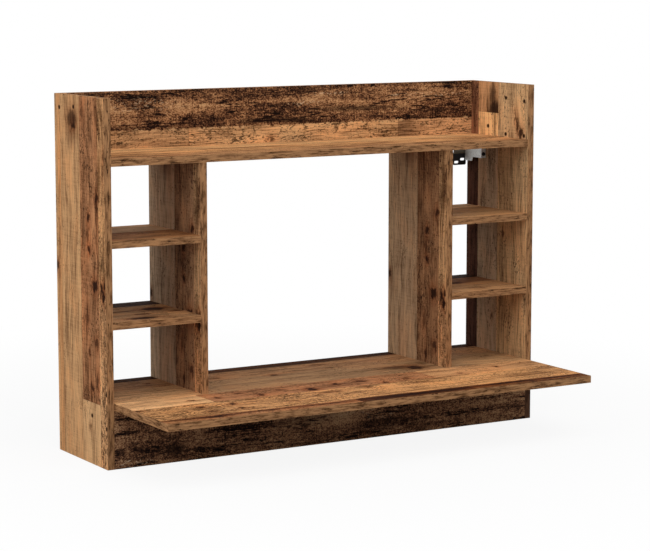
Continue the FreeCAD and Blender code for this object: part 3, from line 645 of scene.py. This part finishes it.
finishes["desk_board"] = board_print(
    "desk_foil", FLAT_WAYS, DESK_WIDTH,
    [
        (33, (74, 40, 12), 0.5, 0.9), (116, OAK, 0.35, 0.30),
        (233, (174, 134, 94), 0.2, 0.12), (316, (176, 121, 82), 0.5, 0.34),
        (430, (214, 157, 104), 0.6, 0.02), (480, (170, 118, 78), 0.5, 0.3),
    ],
    patches=[
        (-10, 178, 233, 316, (232, 180, 128), 0.1, 0.0), (700, 1000, 233, 316, (206, 152, 104), 0.3, 0.1),
        # The patches from here to the one at u 200 to 790, v 116 to 233, make the floor behind the front
        # plane lighter in the side bays and darker between the dividers: painted light and painted shade.
        (-10, 200, 33, 116, (183, 136, 95), 0.35, 0.25), (790, 1000, 33, 116, (192, 142, 99), 0.3, 0.25),
        (-10, 200, 116, 233, (194, 149, 105), 0.2, 0.1), (790, 1000, 116, 233, (184, 142, 100), 0.2, 0.1),
        (200, 790, 116, 233, (162, 124, 88), 0.25, 0.15), (-10, 400, 316, 430, (202, 148, 98), 0.75, 0.05),
        (430, 700, 430, 480, (96, 58, 34), 0.4, 0.75), (700, 1000, 430, 480, (128, 82, 48), 0.4, 0.45),
    ],
    knots=[
        (154, 72, 8, 8, 0.6), (422, 120, 13, 13, 0.7), (726, 195, 24, 30, 0.9), (694, 170, 40, 16, 0.65),
        (205, 280, 8, 12, 0.85), (290, 299, 10, 13, 0.9), (410, 298, 16, 20, 0.95), (482, 272, 11, 14, 0.9),
        (540, 272, 10, 13, 0.8), (580, 308, 10, 12, 0.85), (880, 275, 9, 12, 0.85), (430, 342, 30, 12, 0.6),
        (260, 262, 12, 10, 0.7), (350, 270, 14, 10, 0.65), (640, 292, 12, 10, 0.7), (250, 330, 10, 10, 0.6),
        (520, 340, 9, 10, 0.65), (320, 385, 12, 10, 0.55), (770, 300, 10, 10, 0.55), (640, 342, 20, 9, 0.5),
        (300, 92, 14, 10, 0.5), (560, 60, 30, 10, 0.5), (815, 165, 26, 9, 0.45), (146, 280, 8, 9, 0.95),
        (130, 350, 9, 12, 0.95), (200, 350, 9, 12, 0.95), (130, 397, 9, 10, 0.95), (200, 397, 9, 10, 0.95),
        (6, 325, 10, 10, 0.9), (95, 441, 120, 7, 0.85), (112, 447, 30, 11, 0.95), (250, 438, 100, 5, 0.8),
        (360, 446, 70, 5, 0.8), (590, 447, 170, 14, 0.95), (800, 442, 120, 8, 0.9), (930, 441, 80, 6, 0.8),
    ],
    stains=[
        (100, 449, 130, 9, 0.6), (880, 455, 120, 4, 0.8), (690, 180, 70, 26, 0.5),
        (300, 250, 190, 12, 0.35), (600, 246, 160, 8, 0.5), (500, 36, 520, 14, 0.5),
    ],
    seed=3.0, bold=5.6,
)

# The middle and right pieces of the rail's lower plank, and dark nicks along the top of the middle one
RAIL_MIDDLE = (280, 795, 80, 140)
RAIL_RIGHT = (795, 1000, 80, 140)
RAIL_NICKS = (330, 372, 410, 434, 527, 560, 634, 661, 716)
finishes["back_rail"] = board_print(
    "back_rail_foil", upright_ways(TOP), UPRIGHT_WIDTH,
    [(80, UMBER, 0.3, 0.5), (140, (190, 147, 104), 0.6, 0.1)],
    patches=[(*RAIL_MIDDLE, (210, 164, 116), 0.6, 0.0), (*RAIL_RIGHT, (214, 163, 115), 0.45, 0.05)],
    clipped=[
        *((RAIL_MIDDLE, (at, 88, 4, 16, 0.85)) for at in RAIL_NICKS),
        (RAIL_RIGHT, (800, 110, 80, 60, 0.60)),
    ],
    knots=[(478, 112, 11, 9, 0.75)],
    stains=[
        (60, 8, 40, 12, 0.8), (470, 70, 130, 9, 0.9), (690, 52, 170, 10, 0.8), (190, 75, 120, 5, 0.9),
        (545, 74, 60, 9, 0.85), (570, 8, 50, 8, 0.7), (930, 8, 30, 14, 0.7), (900, 62, 110, 4, 0.8),
        (905, 92, 7, 12, 0.7),
    ],
    band=Band(
        low=-20, high=80, ragged=34.0,
        gains=[(0, -0.02), (28, 0.03), (38, 0.12), (54, 0.08), (63, 0.0), (80, 0.0)],
        shades=marks([
            (820, 16, 210, 26, 0.16), (480, 46, 220, 18, -0.18), (150, 64, 170, 14, 0.12),
            (470, 14, 200, 20, -0.06),
        ]),
        chips=marks([
            (860, 27, 130, 6, 0.9), (620, 18, 60, 5, 0.8), (560, 36, 70, 5, 0.7), (160, 30, 160, 22, 0.35),
        ]),
    ),
    seed=11.0, bold=5.0,
)
finishes["front_apron"] = board_print(
    "apron_foil", upright_ways(APRON_TOP), UPRIGHT_WIDTH, [(140, UMBER, 0.5, 0.7)],
    stains=[
        (135, 92, 34, 20, 0.85), (430, 60, 120, 20, 0.4), (820, 30, 110, 16, 0.5), (640, 90, 120, 20, 0.35),
        (300, 20, 110, 12, 0.5),
    ],
    band=Band(
        low=-20, high=160, ragged=0.0,
        gains=[(0, 0.05), (60, 0.07), (130, 0.05)],
        shades=marks([(160, 60, 240, 70, -0.08), (60, 100, 170, 40, -0.08), (520, 50, 200, 50, 0.12)]),
        chips=marks([
            (40, 106, 60, 8, 0.8), (540, 58, 90, 12, 0.4), (620, 72, 60, 8, 0.4), (300, 50, 60, 10, 0.3),
        ]),
        cast=(1.0, 1.05, 1.2, 1),
    ),
    edge=DARK_EDGE, seed=23.0,
)
finishes["top_shelf"] = board_print(
    "top_shelf_foil", FLAT_WAYS, SIDE_WIDTH,
    [(100, (214, 163, 112), 0.2, 0.05), (170, (197, 144, 96), 0.3, 0.15), (240, (180, 131, 89), 0.4, 0.25)],
    knots=[(150, 170, 40, 6, 0.5), (540, 190, 50, 6, 0.55), (660, 150, 46, 10, 0.55)],
    stains=[
        (130, 205, 150, 12, 0.6), (330, 180, 120, 10, 0.4), (560, 205, 130, 10, 0.6),
        (700, 215, 120, 9, 0.55), (880, 190, 120, 9, 0.5), (430, 120, 160, 12, 0.3),
        (60, 110, 120, 14, 0.35), (840, 110, 120, 10, 0.3),
    ],
    seed=31.0, bold=8.0,
)

# Planks, knots and stains of the small shelves
SMALL_SHELVES = {
    "left_upper": (
        [(104, (204, 166, 129), 0.15, 0.1), (240, (153, 106, 68), 0.45, 0.5)],
        [],
        [(100, 190, 90, 12, 0.5)],
    ),
    "left_lower": (
        [(52, (66, 43, 30), 0.4, 0.6), (240, (186, 142, 100), 0.4, 0.35)],
        [
            (150, 105, 36, 26, 0.95), (80, 204, 44, 18, 0.95), (100, 158, 18, 10, 0.75),
            (180, 150, 20, 10, 0.75),
        ],
        [(60, 110, 60, 16, 0.6), (120, 180, 70, 12, 0.6)],
    ),
    "right_upper": (
        [(60, (218, 172, 127), 0.1, 0.1), (240, (184, 139, 96), 0.15, 0.12)],
        [],
        [(890, 120, 60, 10, 0.3)],
    ),
    "right_lower": (
        [(46, (67, 44, 30), 0.4, 0.6), (108, (142, 98, 66), 0.3, 0.4), (240, (182, 136, 94), 0.25, 0.12)],
        [(888, 108, 26, 14, 0.8), (893, 196, 18, 8, 0.5)],
        [],
    ),
}
FIRST_SHELF_SEED, SHELF_SEED_STEP = 41.0, 3
for index, (place, (planks, knots, stains)) in enumerate(SMALL_SHELVES.items()):
    finishes[f"{place}_shelf"] = board_print(
        f"{place}_shelf_foil", FLAT_WAYS, SIDE_WIDTH, planks, knots=knots, stains=stains,
        seed=FIRST_SHELF_SEED + SHELF_SEED_STEP * index,
    )


# Metal and beech

# Cycles a metre along the three axes
SCRATCHES = (2600.0, 240.0, 2600.0)
RAYS = (120.0, 900.0, 900.0)
# A fade, like those of the prints
MOTTLE = (0.3, 0.7, 0.0, 1.0)
SCRATCH_ROUGHNESS, MOTTLE_ROUGHNESS = 0.22, 0.16
SCRATCH_RELIEF, MOTTLE_RELIEF = 0.6, 0.4
METAL_BUMP, BEECH_BUMP, BUMP_DISTANCE = 0.15, 0.2, 0.0002
MOTTLE_DETAIL, SCRATCH_DETAIL, RAY_DETAIL = 4.0, 3.0, 4.0
NOISE_ROUGHNESS = 0.6
SHEEN_DARK, SHEEN_PALE = srgb(126, 130, 120), srgb(158, 162, 152)
# Height over which the painted sheen fades in, in metres
SHEEN_FADE = 0.0012
BEECH_ROUGHNESS = 0.6
BEECH_TONES = [(0.3, srgb(176, 130, 86)), (0.5, srgb(206, 162, 114)), (0.7, srgb(222, 184, 138))]


def surface_noise(shader, scales, detail):
    """Noise over the object, with scales in cycles a metre."""
    return shader.noise(shader.vector("MULTIPLY", shader.object_point(), scales), detail, NOISE_ROUGHNESS)


def metal(name, tint, roughness, scale, metallic=1.0, worn=0.12, sheen_above=None):
    """Coated metal with a mottle and fine scratches, and above a height, if one is given, a pale grey
    painted sheen.
    """
    shader = Shader(name)
    mottle = surface_noise(shader, (scale, scale, scale), MOTTLE_DETAIL)
    scratch = surface_noise(shader, SCRATCHES, SCRATCH_DETAIL)
    base = srgb(*tint)[:3]
    low = tuple(channel * (1 - worn * 2) for channel in base) + (1.0,)
    high = tuple(min(1.0, channel * (1 + worn)) for channel in base) + (1.0,)
    colour = shader.mix(shader.fade(mottle, *MOTTLE), low, high)
    # Above the height the colour turns pale grey: painted sheen
    if sheen_above is not None:
        height = shader.split(shader.object_point())[Z]
        sheen = shader.fade(height, sheen_above, sheen_above + SHEEN_FADE)
        colour = shader.mix(sheen, colour, shader.mix(mottle, SHEEN_DARK, SHEEN_PALE))
    smoothest = roughness - SCRATCH_ROUGHNESS / 2
    gloss = shader.math("MULTIPLY_ADD", scratch, SCRATCH_ROUGHNESS, smoothest)
    gloss = shader.math("MULTIPLY_ADD", mottle, MOTTLE_ROUGHNESS, gloss)
    relief = shader.total([(mottle, MOTTLE_RELIEF), (scratch, SCRATCH_RELIEF)])
    shader.feed(shader.surface.inputs["Metallic"], metallic)
    return shader.finish(colour, gloss, relief, METAL_BUMP, BUMP_DISTANCE)


def beech(name):
    """Plain beech with fine rays."""
    shader = Shader(name)
    rays = surface_noise(shader, RAYS, RAY_DETAIL)
    colour = shader.ramp(rays, BEECH_TONES)
    return shader.finish(colour, BEECH_ROUGHNESS, rays, BEECH_BUMP, BUMP_DISTANCE)


# Height, in metres, above which the wall plates' lips are painted pale grey, a painted sheen of light on
# the bent lip
PLATE_LIP = 0.0125
casting = metal("zinc_casting", (176, 177, 180), roughness=0.46, scale=420.0)
plate_steel = metal("zinc_steel", (196, 196, 196), roughness=0.34, scale=300.0)
# The housings' zinc sheet is tinted near white and only partly metallic, so that it reads light in the
# shade under the top shelf: painted light
sheet_steel_painted_light = metal(
    "zinc_sheet", (236, 240, 238), roughness=0.40, scale=260.0, metallic=0.45, worn=0.08,
)
# The depth screws' steel is near black: painted shade of the recess in which they sit
steel_painted_dark = metal("shade_dark_steel", (62, 64, 68), roughness=0.40, scale=300.0)
black_steel = metal(
    "black_steel", (32, 30, 33), roughness=0.44, scale=500.0, metallic=0.0, worn=0.2, sheen_above=PLATE_LIP,
)
finishes |= {
    "cam_locks": casting,
    "cam_bolts": plate_steel,
    "divider_screws": plate_steel,
    "wood_dowels": beech("beech"),
}
for side in ("left", "right"):
    finishes |= {
        f"{side}_hanger_housing": sheet_steel_painted_light,
        f"{side}_hanger_pins": plate_steel,
        f"{side}_hook_carriage": casting,
        f"{side}_wall_hook": plate_steel,
        f"{side}_height_screw": plate_steel,
        f"{side}_depth_screw": steel_painted_dark,
        f"{side}_wall_plate": black_steel,
    }
for name, node in nodes.items():
    node.data.materials.clear()
    node.data.materials.append(finishes[name])


# Studio, in metres

# Strength of the world as a light; where it is seen it is white
AMBIENT = 0.46
FLOOR_SIZE = 80
FLOOR_GAP = 0.0005
# The floor's grey where light bounces off it, and where it is seen
FLOOR_BOUNCE, FLOOR_SEEN = 0.35, 0.86
# Distances from the middle of the floor over which its shadow fades, and the shares of white there
FLOOR_WHITE = (0.5, 1.5, 0.90, 1.0)
LAMP_AIM = (0, -0.2, -0.2)
# Place, size and power of each soft box
LAMPS = {
    "overhead": ((-0.3, -1.8, 2.4), 3.0, 56),
    "left": ((-3.2, -0.3, 0.9), 2.6, 33),
}

world = bpy.data.worlds.new("studio")
bpy.context.scene.world = world
world.use_nodes = True
sky = Nodes(world.node_tree)
background = sky.node("ShaderNodeBackground", WHITE, sky.fade(sky.seen(), 0.0, 1.0, AMBIENT, 1.0))
sky.node("ShaderNodeOutputWorld", background.outputs[0])

floor_z = cad_box[0].z - FLOOR_GAP
bpy.ops.mesh.primitive_plane_add(size=FLOOR_SIZE, location=(0, 0, floor_z))
floor = bpy.context.object
floor.name = "studio_floor"
material = bpy.data.materials.new("studio_paper")
material.use_nodes = True
paper = Nodes(material.node_tree)
seen = paper.seen()
diffuse = paper.node("ShaderNodeBsdfDiffuse", paper.fade(seen, 0.0, 1.0, FLOOR_BOUNCE, FLOOR_SEEN))
glow = paper.node("ShaderNodeEmission", WHITE, 1.0)
distance = paper.vector("LENGTH", paper.object_point())
share = paper.math("MULTIPLY", seen, paper.fade(distance, *FLOOR_WHITE))
both = paper.node("ShaderNodeMixShader", share, diffuse.outputs[0], glow.outputs[0])
paper.node("ShaderNodeOutputMaterial", both.outputs[0])
floor.data.materials.append(material)


def lamp(name, place, size, power):
    """A square soft box that faces the desk."""
    data = bpy.data.lights.new(name, "AREA")
    data.size = size
    data.energy = power
    made = bpy.data.objects.new(name, data)
    bpy.context.scene.collection.objects.link(made)
    made.location = place
    way_x, way_y, way_z = (to - at for at, to in zip(place, LAMP_AIM))
    tilt = math.atan2(math.hypot(way_x, way_y), -way_z)
    turn = math.atan2(way_y, way_x) - math.pi / 2
    made.rotation_euler = (tilt, 0, turn)


for name, (place, size, power) in LAMPS.items():
    lamp(name, place, size, power)

# The camera, fitted to the desk's corners in the photograph: the photograph's width and the focal length
# in pixels, and, in degrees, how far it looks down and is turned to the right
PHOTO_WIDTH = 650
FOCAL_LENGTH = 2239.8
LOOKS_DOWN = 7.816
TURNED_RIGHT = 30.737
# Sensor width in millimetres
SENSOR_WIDTH = 36
camera_data = bpy.data.cameras.new("camera")
camera = bpy.data.objects.new("camera", camera_data)
bpy.context.scene.collection.objects.link(camera)
camera_data.sensor_width = SENSOR_WIDTH
camera_data.lens = FOCAL_LENGTH / PHOTO_WIDTH * SENSOR_WIDTH
camera.location = (-2.34568, -4.15161, 0.42446)
camera.rotation_euler = (math.radians(90 - LOOKS_DOWN), 0, math.radians(-TURNED_RIGHT))
bpy.context.scene.camera = camera

bpy.context.scene.view_settings.view_transform = "Standard"
